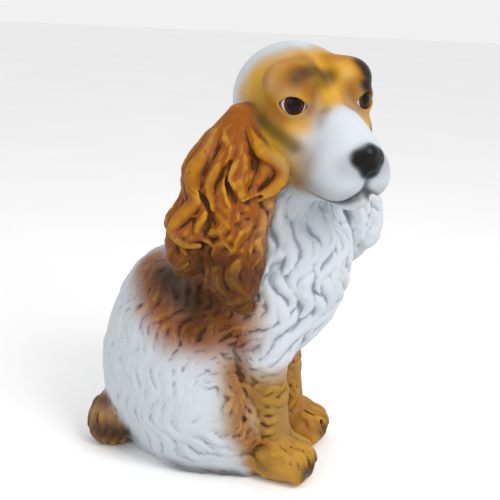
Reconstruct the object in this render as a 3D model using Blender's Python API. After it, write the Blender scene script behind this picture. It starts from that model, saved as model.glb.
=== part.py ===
"""Seated spaniel figurine, slip-cast in separate moulds and luted together.

The frame: +Z up, the dog looks towards -Y, its left side is +X, and the origin is at the middle
of the base on the surface it stands on. The form is drawn at 420 mm tall and scales with
FIGURE_HEIGHT. Walls, joints, holes and eyes are sizes of their own and keep theirs.
"""

import math

import bmesh
import bpy
from mathutils import Euler, Matrix, Vector

MM = 0.001

# Driving sizes
FIGURE_HEIGHT = 420 * MM
HEAD_SIZE = 1.0              # 1 is the drawn head
HEAD_TURN = -47              # degrees about the neck, towards the dog's right
WALL = 7 * MM                # body and head castings
LIMB_WALL = 6 * MM           # forelegs and ears
LUTE_GAP = 0.4 * MM          # slip between two castings
POUR_HOLE = 40 * MM          # in the base
NECK_VENT = 40 * MM          # between body and head
EYE_DIAMETER = 26 * MM
EYE_HEIGHT = 8 * MM          # of the glass above its flat back
EYE_CLEARANCE = 0.3 * MM

# Mesh fineness
BODY_CELL = 15 * MM
HEAD_CELL = 10 * MM
LIMB_CELL = 10 * MM
CORE_CELL = 18 * MM
LIMB_CORE_CELL = 14 * MM

DRAWN_HEIGHT = 420
UNIT = FIGURE_HEIGHT / DRAWN_HEIGHT

# The form, in drawn millimetres. A ball is (centre, radii, lean), lean in degrees about X.
# A limb is (points, radii). PAIRED ones are drawn on the left and repeated on the right.
BODY_BALLS = [
    ((0, 54, 102), (67, 84, 119), 8),
    ((0, -30, 205), (59, 59, 75), 6),
    ((0, -60, 215), (46, 47, 70), -4),
    ((0, -28, 282), (53, 55, 60), 0),
    ((0, -36, 155), (52, 42, 42), 0),
    ((0, 34, 38), (56, 72, 58), 0),
]
PAIRED_BODY_BALLS = [
    ((42, 32, 67), (39, 61, 76), -8),
    ((40, -8, 52), (35, 36, 48), 0),
]
HIND_FOOT_LIMB = ([(42, 26, 14), (46, -8, 15), (48, -24, 14)], [19, 19, 17])
FORELEG_LIMB = ([(34, -34, 165), (38, -37, 95), (41, -46, 30)], [28, 22, 21])
PAW_BALL = ((43, -62, 18), (29, 34, 24), 0)
TAIL_LIMB = ([(-4, 106, 26), (-14, 120, 30), (-18, 127, 22)], [22, 28, 24])

HEAD_PLACE = (-4.5, -53, 353)
HEAD_BALLS = [
    ((0, 10, 12), (54, 64, 54), 0),
    ((0, -62, -12), (29, 45, 27), 22),
    ((0, -74, -32), (33, 37, 26), 0),
    ((0, -52, -47), (35, 49, 25), 0),
    ((0, -106, -26), (15, 10, 11), 0),
]
PAIRED_HEAD_BALLS = [
    ((27, -32, 32), (27, 23, 23), 0),
    ((30, -22, -16), (29, 39, 37), 0),
    ((14, -82, -41), (21, 28, 25), 0),
]
EYE_PLACE = (36, -49, 15)    # middle of the eye's flat back, in the head's frame
EYE_FACING = (34, -8)        # degrees the eye looks outwards, and up

RIGHT_EAR_LOCKS = [
    ([(-46, -4, 354), (-62, 6, 330), (-68, 18, 301), (-70, 14, 274), (-74, 30, 252),
      (-74, 30, 231), (-72, 34, 220)], [11, 17, 21, 23, 23, 20, 13]),
    ([(-50, -12, 352), (-66, -10, 325), (-74, -10, 294), (-76, -5, 267), (-78, -13, 241),
      (-78, -6, 216), (-77, -14, 198), (-74, -22, 186)], [11, 16, 20, 21, 23, 21, 15, 9]),
    ([(-48, -20, 350), (-60, -29, 325), (-62, -41, 301), (-64, -27, 276), (-66, -24, 248),
      (-70, -25, 225), (-70, -24, 202)], [10, 14, 16, 17, 18, 16, 10]),
]
LEFT_EAR_LOCKS = [
    ([(32, -73, 376), (48, -82, 333), (52, -88, 285), (48, -104, 262), (46, -107, 240),
      (44, -98, 219)], [15, 21, 23, 25, 25, 15]),
    ([(42, -66, 370), (60, -62, 330), (64, -68, 292), (66, -70, 262), (63, -76, 232),
      (58, -78, 206)], [13, 19, 22, 25, 24, 15]),
]

BALL_DETAIL = 3              # subdivisions of the icosphere that a ball starts from
TURNED_SIDES = 32
DEEP = 300 * MM              # long enough to cut through the whole figure


def clear_scene():
    for item in list(bpy.data.objects):
        bpy.data.objects.remove(item, do_unlink=True)


def paint(name, colour, roughness, metallic=0.0):
    material = bpy.data.materials.new(name)
    material.use_nodes = True
    surface = material.node_tree.nodes["Principled BSDF"]
    surface.inputs["Base Color"].default_value = (*colour, 1)
    surface.inputs["Roughness"].default_value = roughness
    surface.inputs["Metallic"].default_value = metallic
    return material


def mirrored(point):
    return (-point[0], *point[1:])


def add_ball(bm, ball, grow=0.0, frame=Matrix.Identity(4), size=1.0):
    """An ellipsoid, with each radius grown by a real length."""
    centre, radii, lean = ball
    place = frame @ Vector([c * UNIT * size for c in centre])
    turn = frame.to_3x3().to_4x4() @ Matrix.Rotation(math.radians(lean), 4, "X")
    reach = Matrix.Diagonal([r * UNIT * size + grow for r in radii] + [1])
    bmesh.ops.create_icosphere(
        bm, subdivisions=BALL_DETAIL, radius=1, matrix=Matrix.Translation(place) @ turn @ reach
    )


def ball_directions():
    bm = bmesh.new()
    bmesh.ops.create_icosphere(bm, subdivisions=BALL_DETAIL - 1, radius=1)
    directions = [vert.co.copy() for vert in bm.verts]
    bm.free()
    return directions


def add_limb(bm, limb, grow=0.0):
    """A chain of round-ended cones: each is the hull of the two balls at its ends."""
    points, radii = limb
    directions = ball_directions()
    balls = [(Vector(p) * UNIT, r * UNIT + grow) for p, r in zip(points, radii)]
    for ends in zip(balls, balls[1:]):
        verts = [bm.verts.new(centre + radius * d) for centre, radius in ends for d in directions]
        hull = bmesh.ops.convex_hull(bm, input=verts)
        spare = {v for v in hull["geom_interior"] if isinstance(v, bmesh.types.BMVert)}
        bmesh.ops.delete(bm, geom=list(spare), context="VERTS")


def object_from(bm, name, material=None):
    mesh = bpy.data.meshes.new(name)
    bm.to_mesh(mesh)
    bm.free()
    made = bpy.data.objects.new(name, mesh)
    bpy.context.scene.collection.objects.link(made)
    if material:
        mesh.materials.append(material)
    return made


def cast(made, cell, ease=3):
    """Fuses the shapes of one mould into one skin and eases its creases."""
    skin = made.modifiers.new("skin", "REMESH")
    skin.mode = "VOXEL"
    skin.voxel_size = cell
    skin.use_smooth_shade = True
    soft = made.modifiers.new("ease", "SMOOTH")
    soft.factor = 0.5
    soft.iterations = ease
    split = made.modifiers.new("split", "TRIANGULATE")
    split.quad_method = "FIXED"
    return made


def swell(made, distance):
    """Moves the skin outwards, for the envelope that a neighbour is cut to."""
    out = made.modifiers.new("swell", "DISPLACE")
    out.mid_level = 0
    out.strength = distance
    return made


def helper(made):
    made.hide_render = True
    made.display_type = "WIRE"
    return made


def cut(made, cutter):
    trim = made.modifiers.new("cut by " + cutter.name, "BOOLEAN")
    trim.operation = "DIFFERENCE"
    trim.solver = "EXACT"
    trim.object = cutter


def head_frame():
    turn = Euler((math.radians(-1), math.radians(-2), math.radians(HEAD_TURN)), "YXZ")
    return Matrix.Translation(Vector(HEAD_PLACE) * UNIT) @ turn.to_matrix().to_4x4()


def body_form(name, grow=0.0, material=None):
    bm = bmesh.new()
    for ball in BODY_BALLS:
        add_ball(bm, ball, grow)
    for centre, radii, lean in PAIRED_BODY_BALLS:
        add_ball(bm, (centre, radii, lean), grow)
        add_ball(bm, (mirrored(centre), radii, lean), grow)
    return object_from(bm, name, material)


def head_form(name, grow=0.0, material=None):
    bm = bmesh.new()
    frame = head_frame()
    for ball in HEAD_BALLS:
        add_ball(bm, ball, grow, frame, HEAD_SIZE)
    for centre, radii, lean in PAIRED_HEAD_BALLS:
        add_ball(bm, (centre, radii, lean), grow, frame, HEAD_SIZE)
        add_ball(bm, (mirrored(centre), radii, lean), grow, frame, HEAD_SIZE)
    return object_from(bm, name, material)


def limb_form(name, limbs, balls=(), grow=0.0, material=None):
    bm = bmesh.new()
    for limb in limbs:
        add_limb(bm, limb, grow)
    for ball in balls:
        add_ball(bm, ball, grow)
    return object_from(bm, name, material)


def block(name, low, high):
    bm = bmesh.new()
    middle = (Vector(low) + Vector(high)) / 2
    size = Matrix.Diagonal([*(Vector(high) - Vector(low)), 1])
    bmesh.ops.create_cube(bm, size=1, matrix=Matrix.Translation(middle) @ size)
    return helper(object_from(bm, name))


def rod(name, start, end, radius):
    bm = bmesh.new()
    along = Vector(end) - Vector(start)
    turn = along.to_track_quat("Z", "Y").to_matrix().to_4x4()
    middle = Matrix.Translation((Vector(start) + Vector(end)) / 2)
    bmesh.ops.create_cone(
        bm, cap_ends=True, segments=TURNED_SIDES, radius1=radius, radius2=radius,
        depth=along.length, matrix=middle @ turn,
    )
    return helper(object_from(bm, name))


def eye_dome(name, clearance, material=None, side=1):
    """A plano-convex glass eye, turned about its own axis. As a socket cutter it also reaches
    outwards past the lids."""
    radius = EYE_DIAMETER / 2 + clearance
    rings = 6
    profile = [Vector((radius * math.cos(a), 0, EYE_HEIGHT * math.sin(a)))
               for a in (math.pi / 2 * i / rings for i in range(rings + 1))]
    profile[-1].x = 0
    if clearance:
        profile = [Vector((radius, 0, -clearance)), Vector((radius, 0, 2 * EYE_HEIGHT)),
                   Vector((0, 0, 2 * EYE_HEIGHT))]
    profile = [Vector((0, 0, profile[0].z))] + profile
    bm = bmesh.new()
    verts = [bm.verts.new(p) for p in profile]
    edges = [bm.edges.new(pair) for pair in zip(verts, verts[1:])]
    bmesh.ops.spin(
        bm, geom=verts + edges, cent=(0, 0, 0), axis=(0, 0, 1), angle=2 * math.pi,
        steps=TURNED_SIDES, use_merge=True,
    )
    bmesh.ops.remove_doubles(bm, verts=bm.verts, dist=0.01 * MM)
    bmesh.ops.recalc_face_normals(bm, faces=bm.faces)
    outwards, upwards = EYE_FACING
    facing = Matrix.Rotation(math.radians(side * outwards), 4, "Z")
    facing = facing @ Matrix.Rotation(math.radians(90 + upwards), 4, "X")
    x, y, z = (c * UNIT * HEAD_SIZE for c in EYE_PLACE)
    made = object_from(bm, name, material)
    made.data.transform(head_frame() @ Matrix.Translation((side * x, y, z)) @ facing)
    for face in made.data.polygons:
        face.use_smooth = True
    return made


def make_helpers():
    """Envelopes, cores and hole cutters that several castings share."""
    ground = block("ground_block", (-DEEP, -DEEP, -DEEP), (DEEP, DEEP, 0))
    head_envelope = helper(swell(cast(head_form("head_envelope"), HEAD_CELL), LUTE_GAP))
    body_envelope = helper(swell(cast(body_form("body_envelope"), BODY_CELL), LUTE_GAP))
    return ground, head_envelope, body_envelope


def neck_axis():
    """From inside the chest to the middle of the skull."""
    return Vector((0, -34, 245)) * UNIT, Vector(HEAD_PLACE) * UNIT


def make_body(ground, head_envelope, clay):
    body = cast(body_form("body_shell", material=clay), BODY_CELL)
    cut(body, ground)
    cut(body, head_envelope)
    core = helper(cast(body_form("body_core", grow=-WALL), CORE_CELL))
    floor = block("core_floor", (-DEEP, -DEEP, -DEEP), (DEEP, DEEP, WALL))
    crown = swell(cast(head_form("core_crown"), HEAD_CELL), WALL)
    cut(core, floor)
    cut(core, helper(crown))
    cut(body, core)
    hole = Vector((0, 40, 0)) * UNIT
    drop = Vector((0, 0, 2 * WALL))
    cut(body, rod("pour_hole_cutter", hole - drop, hole + drop, POUR_HOLE / 2))
    cut(body, rod("neck_vent_cutter", *neck_axis(), NECK_VENT / 2))
    return body


def make_head(clay):
    head = cast(head_form("head_shell", material=clay), HEAD_CELL)
    cut(head, helper(cast(head_form("head_core", grow=-WALL), CORE_CELL)))
    cut(head, rod("head_vent_cutter", *neck_axis(), NECK_VENT / 2))
    for side, word in ((-1, "right"), (1, "left")):
        cut(head, helper(eye_dome(word + "_eye_socket", EYE_CLEARANCE, side=side)))
    return head


def handed(flip, limb):
    points, radii = limb
    return [(flip * p[0], *p[1:]) for p in points], radii


def make_limb(name, limbs, balls, neighbours, clay, hollow):
    """A casting of its own, cut back to its neighbours' skins. A hollow one is open where it
    meets the body, so that its cavity drains into the body's."""
    limb = cast(limb_form(name, limbs, balls, material=clay), LIMB_CELL)
    for neighbour in neighbours:
        cut(limb, neighbour)
    if hollow:
        core = limb_form(name + "_core", limbs, grow=-LIMB_WALL)
        cut(limb, helper(cast(core, LIMB_CORE_CELL)))


def make_limbs(ground, body_envelope, white_clay, tan_clay):
    centre, radii, lean = PAW_BALL
    for flip, word in ((1, "left"), (-1, "right")):
        leg, foot = handed(flip, FORELEG_LIMB), handed(flip, HIND_FOOT_LIMB)
        paw = ((flip * centre[0], *centre[1:]), radii, lean)
        envelope = cast(limb_form(word + "_foreleg_envelope", [leg], [paw]), LIMB_CELL)
        helper(swell(envelope, LUTE_GAP))
        make_limb(word + "_foreleg", [leg], [paw], [ground, body_envelope], tan_clay, True)
        make_limb(
            word + "_hind_foot", [foot], [], [ground, body_envelope, envelope], white_clay, False
        )
    make_limb("tail", [TAIL_LIMB], [], [ground, body_envelope], tan_clay, False)


def make_ears(head_envelope, body_envelope, clay):
    for name, locks in (("right_ear", RIGHT_EAR_LOCKS), ("left_ear", LEFT_EAR_LOCKS)):
        make_limb(name, locks, [], [head_envelope, body_envelope], clay, True)


def main():
    clear_scene()
    white_clay = paint("white_ceramic", (0.80, 0.82, 0.83), 0.42)
    tan_clay = paint("tan_ceramic", (0.55, 0.28, 0.06), 0.42)
    glass = paint("eye_glass", (0.02, 0.015, 0.012), 0.05)
    ground, head_envelope, body_envelope = make_helpers()
    make_body(ground, head_envelope, white_clay)
    make_head(white_clay)
    make_limbs(ground, body_envelope, white_clay, tan_clay)
    make_ears(head_envelope, body_envelope, tan_clay)
    for side, word in ((-1, "right"), (1, "left")):
        eye_dome(word + "_eye", 0, glass, side)


main()
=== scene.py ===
import math
import time

import bpy
import numpy as np
from mathutils import Matrix, Vector


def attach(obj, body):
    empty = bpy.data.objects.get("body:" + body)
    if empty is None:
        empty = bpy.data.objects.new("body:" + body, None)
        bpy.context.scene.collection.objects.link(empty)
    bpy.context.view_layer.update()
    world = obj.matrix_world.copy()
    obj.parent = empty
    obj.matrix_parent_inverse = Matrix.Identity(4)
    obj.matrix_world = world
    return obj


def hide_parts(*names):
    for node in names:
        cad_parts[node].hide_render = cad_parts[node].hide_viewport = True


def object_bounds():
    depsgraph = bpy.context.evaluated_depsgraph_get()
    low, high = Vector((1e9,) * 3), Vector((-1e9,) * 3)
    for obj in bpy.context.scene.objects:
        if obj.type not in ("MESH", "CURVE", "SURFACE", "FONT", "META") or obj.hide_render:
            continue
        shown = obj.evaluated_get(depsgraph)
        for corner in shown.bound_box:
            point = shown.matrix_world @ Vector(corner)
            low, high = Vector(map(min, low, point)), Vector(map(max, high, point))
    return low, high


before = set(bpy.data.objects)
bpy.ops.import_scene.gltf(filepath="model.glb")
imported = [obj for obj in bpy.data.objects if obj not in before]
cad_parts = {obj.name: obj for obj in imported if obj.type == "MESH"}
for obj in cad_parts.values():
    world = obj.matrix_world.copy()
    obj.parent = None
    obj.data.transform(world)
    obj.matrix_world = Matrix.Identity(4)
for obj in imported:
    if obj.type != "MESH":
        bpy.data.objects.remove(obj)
cadLow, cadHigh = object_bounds()
started = time.time()


def say(text):
    print(f"[{time.time() - started:6.1f}s] {text}")


# Lengths below are in drawn millimetres: x to the dog's left, y towards its tail, z up.
# The drawing is scaled to the frame's height and put on the frame's floor.
figure = {
    "drawnHeight": 417.2,
    "skinCell": 1.3,        # fineness of the modelled surface
    "headCell": 0.95,
}
unit = (cadHigh.z - cadLow.z) / figure["drawnHeight"]


def drawn(point):
    return (np.array(point, float) - [0, 0, cadLow.z]) / unit


def placed(points):
    return points * unit + [0, 0, cadLow.z]


# Clay: shapes pressed together on a grid of signed distances.

def smoothMin(a, b, blend):
    near = np.maximum(blend - np.abs(a - b), 0) / blend
    return np.minimum(a, b) - near * near * (blend * 0.25)


def turned(yaw=0.0, pitch=0.0, roll=0.0):
    a, b, c = np.radians([yaw, pitch, roll])
    aboutZ = np.array([[np.cos(a), -np.sin(a), 0], [np.sin(a), np.cos(a), 0], [0, 0, 1]])
    aboutX = np.array([[1, 0, 0], [0, np.cos(b), -np.sin(b)], [0, np.sin(b), np.cos(b)]])
    aboutY = np.array([[np.cos(c), 0, np.sin(c)], [0, 1, 0], [-np.sin(c), 0, np.cos(c)]])
    return aboutZ @ aboutX @ aboutY


def ball(centre, radii, blend=8.0, turn=None, carve=False):
    turn = np.eye(3) if turn is None else turn
    centre, radii = np.array(centre, float), np.array(radii, float)
    reach = np.sqrt(((turn * radii) ** 2).sum(1))
    return dict(kind="ball", centre=centre, radii=radii, turn=turn, blend=blend, carve=carve,
                low=centre - reach, high=centre + reach)


def roll(points, radii, blend=6.0, carve=False):
    points, radii = np.array(points, float), np.array(radii, float)
    return dict(kind="roll", points=points, radii=radii, blend=blend, carve=carve,
                low=(points - radii[:, None]).min(0), high=(points + radii[:, None]).max(0))


def lens(centre, turn, width, height, depth, blend=1.0):
    # an almond-shaped hole along the turn's y axis
    a, b = width / 2, height / 2
    bow = (a * a + b * b) / (2 * b)
    return dict(kind="lens", centre=np.array(centre, float), turn=turn, bow=bow, lift=bow - b,
                depth=depth, blend=blend, carve=True,
                low=np.array(centre) - depth - a, high=np.array(centre) + depth + a)


def distance(shape, x, y, z):
    if shape["kind"] == "roll":
        best = None
        points, radii = shape["points"], shape["radii"]
        for a, b, ra, rb in zip(points, points[1:], radii, radii[1:]):
            along = b - a
            px, py, pz = x - a[0], y - a[1], z - a[2]
            t = np.clip((px * along[0] + py * along[1] + pz * along[2]) / max(along @ along, 1e-6), 0, 1)
            d = np.sqrt((px - t * along[0]) ** 2 + (py - t * along[1]) ** 2 + (pz - t * along[2]) ** 2)
            d = d - (ra + (rb - ra) * t)
            best = d if best is None else np.minimum(best, d)
        return best
    px, py, pz = (v - c for v, c in zip((x, y, z), shape["centre"]))
    turn = shape["turn"]
    u, v, w = (px * turn[0, i] + py * turn[1, i] + pz * turn[2, i] for i in range(3))
    if shape["kind"] == "lens":
        upper = np.sqrt(u * u + (w + shape["lift"]) ** 2) - shape["bow"]
        lower = np.sqrt(u * u + (w - shape["lift"]) ** 2) - shape["bow"]
        return np.maximum(np.maximum(upper, lower), np.abs(v) - shape["depth"])
    a, b, c = shape["radii"]
    k0 = np.sqrt((u / a) ** 2 + (v / b) ** 2 + (w / c) ** 2)
    k1 = np.sqrt((u / a ** 2) ** 2 + (v / b ** 2) ** 2 + (w / c ** 2) ** 2)
    return k0 * (k0 - 1) / np.maximum(k1, 1e-6)


class Clay:
    def __init__(self, low, high, cell):
        self.low = np.array(low, float)
        self.cell = cell
        self.count = np.ceil((np.array(high) - self.low) / cell).astype(int) + 1
        self.axes = [(self.low[i] + cell * np.arange(self.count[i])).astype(np.float32) for i in range(3)]
        self.field = np.full(self.count, 60, np.float32)

    def window(self, low, high):
        first = np.clip(np.floor((low - self.low) / self.cell), 0, self.count).astype(int)
        last = np.clip(np.ceil((high - self.low) / self.cell) + 1, 0, self.count).astype(int)
        return None if (last <= first).any() else tuple(map(slice, first, last))

    def press(self, shapes):
        for shape in shapes:
            margin = shape["blend"] + 3 * self.cell + (0 if shape["carve"] else shape.get("margin", 10))
            room = self.window(shape["low"] - margin, shape["high"] + margin)
            if room is None:
                continue
            x, y, z = np.meshgrid(*(axis[part] for axis, part in zip(self.axes, room)),
                                  indexing="ij", sparse=True)
            d = distance(shape, x, y, z).astype(np.float32)
            now = self.field[room]
            if shape["carve"]:
                self.field[room] = -smoothMin(-now, d, shape["blend"])
            else:
                self.field[room] = smoothMin(now, d, shape["blend"])

    def sample(self, points):
        place = np.clip((points - self.low) / self.cell, 0, self.count - 1.001)
        first = place.astype(int)
        f = place - first
        i, j, k = first.T
        value = np.zeros(len(points))
        for di in (0, 1):
            for dj in (0, 1):
                for dk in (0, 1):
                    weight = ((f[:, 0] if di else 1 - f[:, 0]) * (f[:, 1] if dj else 1 - f[:, 1])
                              * (f[:, 2] if dk else 1 - f[:, 2]))
                    value += weight * self.field[i + di, j + dj, k + dk]
        return value

    def slope(self, points, reach=2.0):
        out = np.empty_like(points)
        for i in range(3):
            step = np.zeros(3)
            step[i] = reach
            out[:, i] = self.sample(points + step) - self.sample(points - step)
        return out / np.maximum(np.linalg.norm(out, axis=1, keepdims=True), 1e-9)

    def skin(self, every=1):
        # one point in each cell that the surface crosses, one quad over each edge that it cuts
        field = self.field[::every, ::every, ::every]
        cell = self.cell * every
        inside = field < 0
        n = np.array(field.shape) - 1
        corner = {}
        for di in (0, 1):
            for dj in (0, 1):
                for dk in (0, 1):
                    corner[di, dj, dk] = (slice(di, n[0] + di), slice(dj, n[1] + dj), slice(dk, n[2] + dk))
        allIn = np.ones(n, bool)
        anyIn = np.zeros(n, bool)
        for part in corner.values():
            allIn &= inside[part]
            anyIn |= inside[part]
        cells = np.argwhere(anyIn & ~allIn)
        index = np.full(n, -1, np.int64)
        index[tuple(cells.T)] = np.arange(len(cells))
        total = np.zeros((len(cells), 3))
        hits = np.zeros(len(cells))
        for start in corner:
            for axis in range(3):
                if start[axis]:
                    continue
                end = list(start)
                end[axis] = 1
                a = field[tuple((cells + start).T)]
                b = field[tuple((cells + end).T)]
                cut = (a < 0) != (b < 0)
                t = np.where(cut, a / np.where(cut, a - b, 1), 0)
                point = np.array(start, float) + 0.0 * cells
                point[:, axis] = t
                total[cut] += point[cut]
                hits += cut
        points = self.low + (cells + total / hits[:, None]) * cell
        quads = []
        for axis in range(3):
            u, v = (axis + 1) % 3, (axis + 2) % 3
            here = [slice(None)] * 3
            ahead = [slice(None)] * 3
            here[axis], ahead[axis] = slice(0, -1), slice(1, None)
            a, b = inside[tuple(here)], inside[tuple(ahead)]
            for flip, crossing in ((False, a & ~b), (True, b & ~a)):
                edges = np.argwhere(crossing)
                keep = ((edges[:, u] > 0) & (edges[:, v] > 0)
                        & (edges[:, u] < n[u]) & (edges[:, v] < n[v]))
                edges = edges[keep]
                ring = []
                for du, dv in ((0, 0), (1, 0), (1, 1), (0, 1)):
                    c = edges.copy()
                    c[:, u] -= du
                    c[:, v] -= dv
                    ring.append(index[tuple(c.T)])
                quad = np.stack(ring[::-1] if flip else ring, 1)
                quads.append(quad)
        return points, np.concatenate(quads)


# The dog's form, the same balls and rolls that its pieces were drawn with.

def paired(shapes):
    # the same shapes again on the dog's right side
    out = []
    for shape in shapes:
        out.append(shape)
        flipped = dict(shape)
        flip = np.array([-1.0, 1, 1])
        for key in ("centre", "points"):
            if key in shape:
                flipped[key] = shape[key] * flip
        if "turn" in shape:
            flipped["turn"] = np.diag(flip) @ shape["turn"] @ np.diag(flip)
        low, high = shape["low"] * flip, shape["high"] * flip
        flipped["low"], flipped["high"] = np.minimum(low, high), np.maximum(low, high)
        out.append(flipped)
    return out


def bodyShapes():
    return [
        ball((0, 54, 102), (67, 84, 119), 20, turned(pitch=8)),
        ball((0, -30, 205), (58, 58, 74), 25, turned(pitch=6)),
        ball((0, -60, 215), (45, 46, 69), 20, turned(pitch=-4)),
        ball((0, -28, 284), (52, 54, 60), 25),
        ball((0, -36, 155), (52, 41, 41), 20),
        ball((0, 34, 38), (56, 72, 58), 14),
    ] + paired([
        ball((42, 32, 67), (38, 60, 75), 14, turned(pitch=-8)),
        ball((40, -8, 52), (35, 36, 48), 14),
    ])


def forelegShapes():
    return [
        roll([(34, -34, 165), (38, -37, 95), (41, -46, 30)], [28, 21, 20], 10),
        ball((43, -60, 19), (27, 31, 23), 8),
    ]


def hindFootShapes():
    return [roll([(42, 26, 14), (46, -8, 15), (48, -22, 14)], [18, 18, 16], 8)]


def tailShapes():
    return [roll([(-4, 106, 26), (-14, 120, 30), (-18, 127, 22)], [21, 27, 23], 8)]


head = {
    "eyesForward": 52.8,    # of the head's middle
    "eyesUp": 16.4,
    "nod": -1.0,            # degrees
    "eyeRadius": 13.6,
    "eyeSpread": 33.4,      # of each eyeball's centre from the middle
    "eyeBack": -43.4,
    "eyeHeight": 16.0,
    "gaze": {-1: (42, -3), 1: (18, -3)},    # of the right and the left eye's opening, degrees outwards and up
    "lidWidth": 25.0,
    "lidHeight": 15.8,
}


def nodeMiddle(name):
    return drawn(np.mean([v.co[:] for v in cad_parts[name].data.vertices], axis=0))


def headPlace():
    right, left = nodeMiddle("right_eye"), nodeMiddle("left_eye")
    x = (left - right) / np.linalg.norm(left - right)
    y = np.cross((0, 0, 1), x)
    y /= np.linalg.norm(y)
    turn = np.stack([x, y, np.cross(x, y)], 1) @ turned(pitch=head["nod"])
    middle = (left + right) / 2 + turn @ np.array([0, head["eyesForward"], -head["eyesUp"]])
    return middle, turn


headMiddle, headTurn = headPlace()


def onHead(point):
    return headMiddle + headTurn @ np.array(point, float)


def headBall(centre, radii, blend=8.0, turn=None, carve=False, both=False):
    turn = np.eye(3) if turn is None else turn
    flip = np.diag([-1.0, 1, 1])
    made = [ball(onHead(centre), radii, blend, headTurn @ turn, carve)]
    if both:
        made.append(ball(onHead(flip @ np.array(centre)), radii, blend, headTurn @ flip @ turn @ flip, carve))
    return made


def headRoll(points, radii, blend=4.0, carve=False, both=False):
    made = [roll([onHead(p) for p in points], radii, blend, carve)]
    if both:
        made.append(roll([onHead((-p[0], p[1], p[2])) for p in points], radii, blend, carve))
    return made


def headShapes():
    shapes = headBall((0, 10, 12), (54, 64, 54), 14)                                  # skull
    shapes += headBall((26, -31, 33), (25, 20, 19), 14, both=True)                    # brows
    shapes += headBall((30, -20, -16), (28, 38, 37), 14, both=True)                   # cheeks
    shapes += headBall((0, -60, -12), (26, 44, 26), 16, turned(pitch=22))             # bridge
    shapes += headBall((0, -74, -32), (31, 36, 25), 12)                               # muzzle
    shapes += headBall((0, -50, -47), (35, 50, 25), 14)                               # jaw
    return shapes


def eyeFrame(side):
    # columns: across the eye, back into the head, up
    outwards, upwards = head["gaze"][side]
    return headTurn @ turned(yaw=side * outwards) @ turned(pitch=-upwards)


def eyeMiddle(side):
    return onHead((side * head["eyeSpread"], head["eyeBack"], head["eyeHeight"]))


# from under the nose back to the corner of the mouth
mouthLine = [(1, -103, -56), (10, -101, -61), (20, -89, -65), (27, -70, -65), (37, -57, -62), (50, -50, -56)]


def faceShapes():
    shapes = []
    shapes += headBall((15, -82, -43), (20, 27, 24), 7, both=True)                    # flews
    shapes += headBall((0, -82, -64), (16, 20, 11), 5)                                # chin
    shapes += headBall((36, -32, 34), (16, 16, 15), 12, both=True)                    # brow ends
    shapes += headRoll([(-10, -101, -26), (0, -102, -22), (10, -101, -26)], [8.0, 9.5, 8.0], 4)    # nose
    shapes += headRoll([(0, -103, -25), (0, -106, -34)], [12.0, 7.5], 4)
    shapes += headRoll([(9, -102, -26), (3, -105, -33)], [7.5, 7.0], 4, both=True)
    for side in (-1, 1):
        middle, turn = eyeMiddle(side), eyeFrame(side)
        shapes.append(ball(middle, (head["eyeRadius"] + 2.2,) * 3, 8))                # lids
        lidTilt = turn @ turned(roll=side * -6)
        out = middle - turn[:, 1] * head["eyeRadius"]
        shapes.append(lens(out, lidTilt, head["lidWidth"], head["lidHeight"], 12, 1.6))
        shapes.append(ball(middle, (head["eyeRadius"] - 0.4,) * 3, 0.8, carve=True))
    shapes += headRoll([(0, -58, 26), (0, -49, 42), (0, -32, 58), (0, -8, 69)], [4, 5, 5, 3], 12, True)
    shapes += headRoll([(14, -54, 29), (15, -60, 14)], [2, 2], 10, True, both=True)
    shapes += headRoll([(0, -112, -39), (0, -109, -45), (0, -104, -56)],
                       [1.8, 2.4, 2.6], 4, True)                                      # philtrum
    shapes += headRoll(mouthLine, [2.6, 3.0, 2.8, 2.6, 2.4, 1.2], 3, True, both=True)    # mouth
    shapes += headRoll([(7, -116, -25), (11, -114, -28), (16, -108, -27)], [1.6, 2.4, 1.0], 2, True,
                       both=True)                                                     # nostrils
    shapes += headRoll([(62, -38, -36), (52, -44, -41), (40, -46, -46)], [1.6, 1.3, 0.6], 2.5, True,
                       both=True)                                                     # cheek crease
    return shapes


def rightEarShapes():
    return [
        roll([(-46, -4, 354), (-62, 6, 330), (-68, 18, 301), (-70, 14, 274), (-74, 30, 252), (-74, 30, 231),
              (-72, 34, 220)], [9, 16, 20, 22, 22, 19, 12], 10),
        roll([(-50, -12, 352), (-66, -10, 325), (-74, -10, 294), (-76, -5, 267), (-78, -13, 241),
              (-78, -6, 216), (-77, -14, 198), (-74, -22, 186)], [9, 15, 19, 20, 22, 20, 14, 8], 10),
        roll([(-48, -20, 350), (-60, -29, 325), (-62, -40, 301), (-64, -25, 276), (-66, -20, 248),
              (-70, -21, 225), (-70, -22, 202)], [8, 13, 14, 15, 15, 14, 9], 8),
    ]


def leftEarShapes():
    return [
        roll([onHead((44, 20, 22)), onHead((58, 14, -20)), (50, -88, 285), (46, -104, 262), (44, -108, 240),
              (42, -100, 218)], [14, 20, 22, 24, 24, 14], 6),
        roll([onHead((50, 24, 18)), (60, -64, 305), (62, -74, 270), (60, -78, 235), (56, -78, 205)],
             [12, 20, 24, 24, 14], 6),
    ]


def rightOnly(shapes):
    return paired(shapes)[1::2]


parts = {
    "body_shell": bodyShapes(),
    "head_shell": headShapes(),
    "right_ear": rightEarShapes(),
    "left_ear": leftEarShapes(),
    "left_foreleg": forelegShapes(),
    "right_foreleg": rightOnly(forelegShapes()),
    "left_hind_foot": hindFootShapes(),
    "right_hind_foot": rightOnly(hindFootShapes()),
    "tail": tailShapes(),
}


def partDistances(points):
    x, y, z = points.T
    out = {}
    for name, shapes in parts.items():
        best = None
        for shape in shapes:
            d = distance(shape, x, y, z)
            best = d if best is None else smoothMin(best, d, shape["blend"])
        out[name] = best
    return out


def allBaseShapes():
    return [shape for shapes in parts.values() for shape in shapes]


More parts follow.
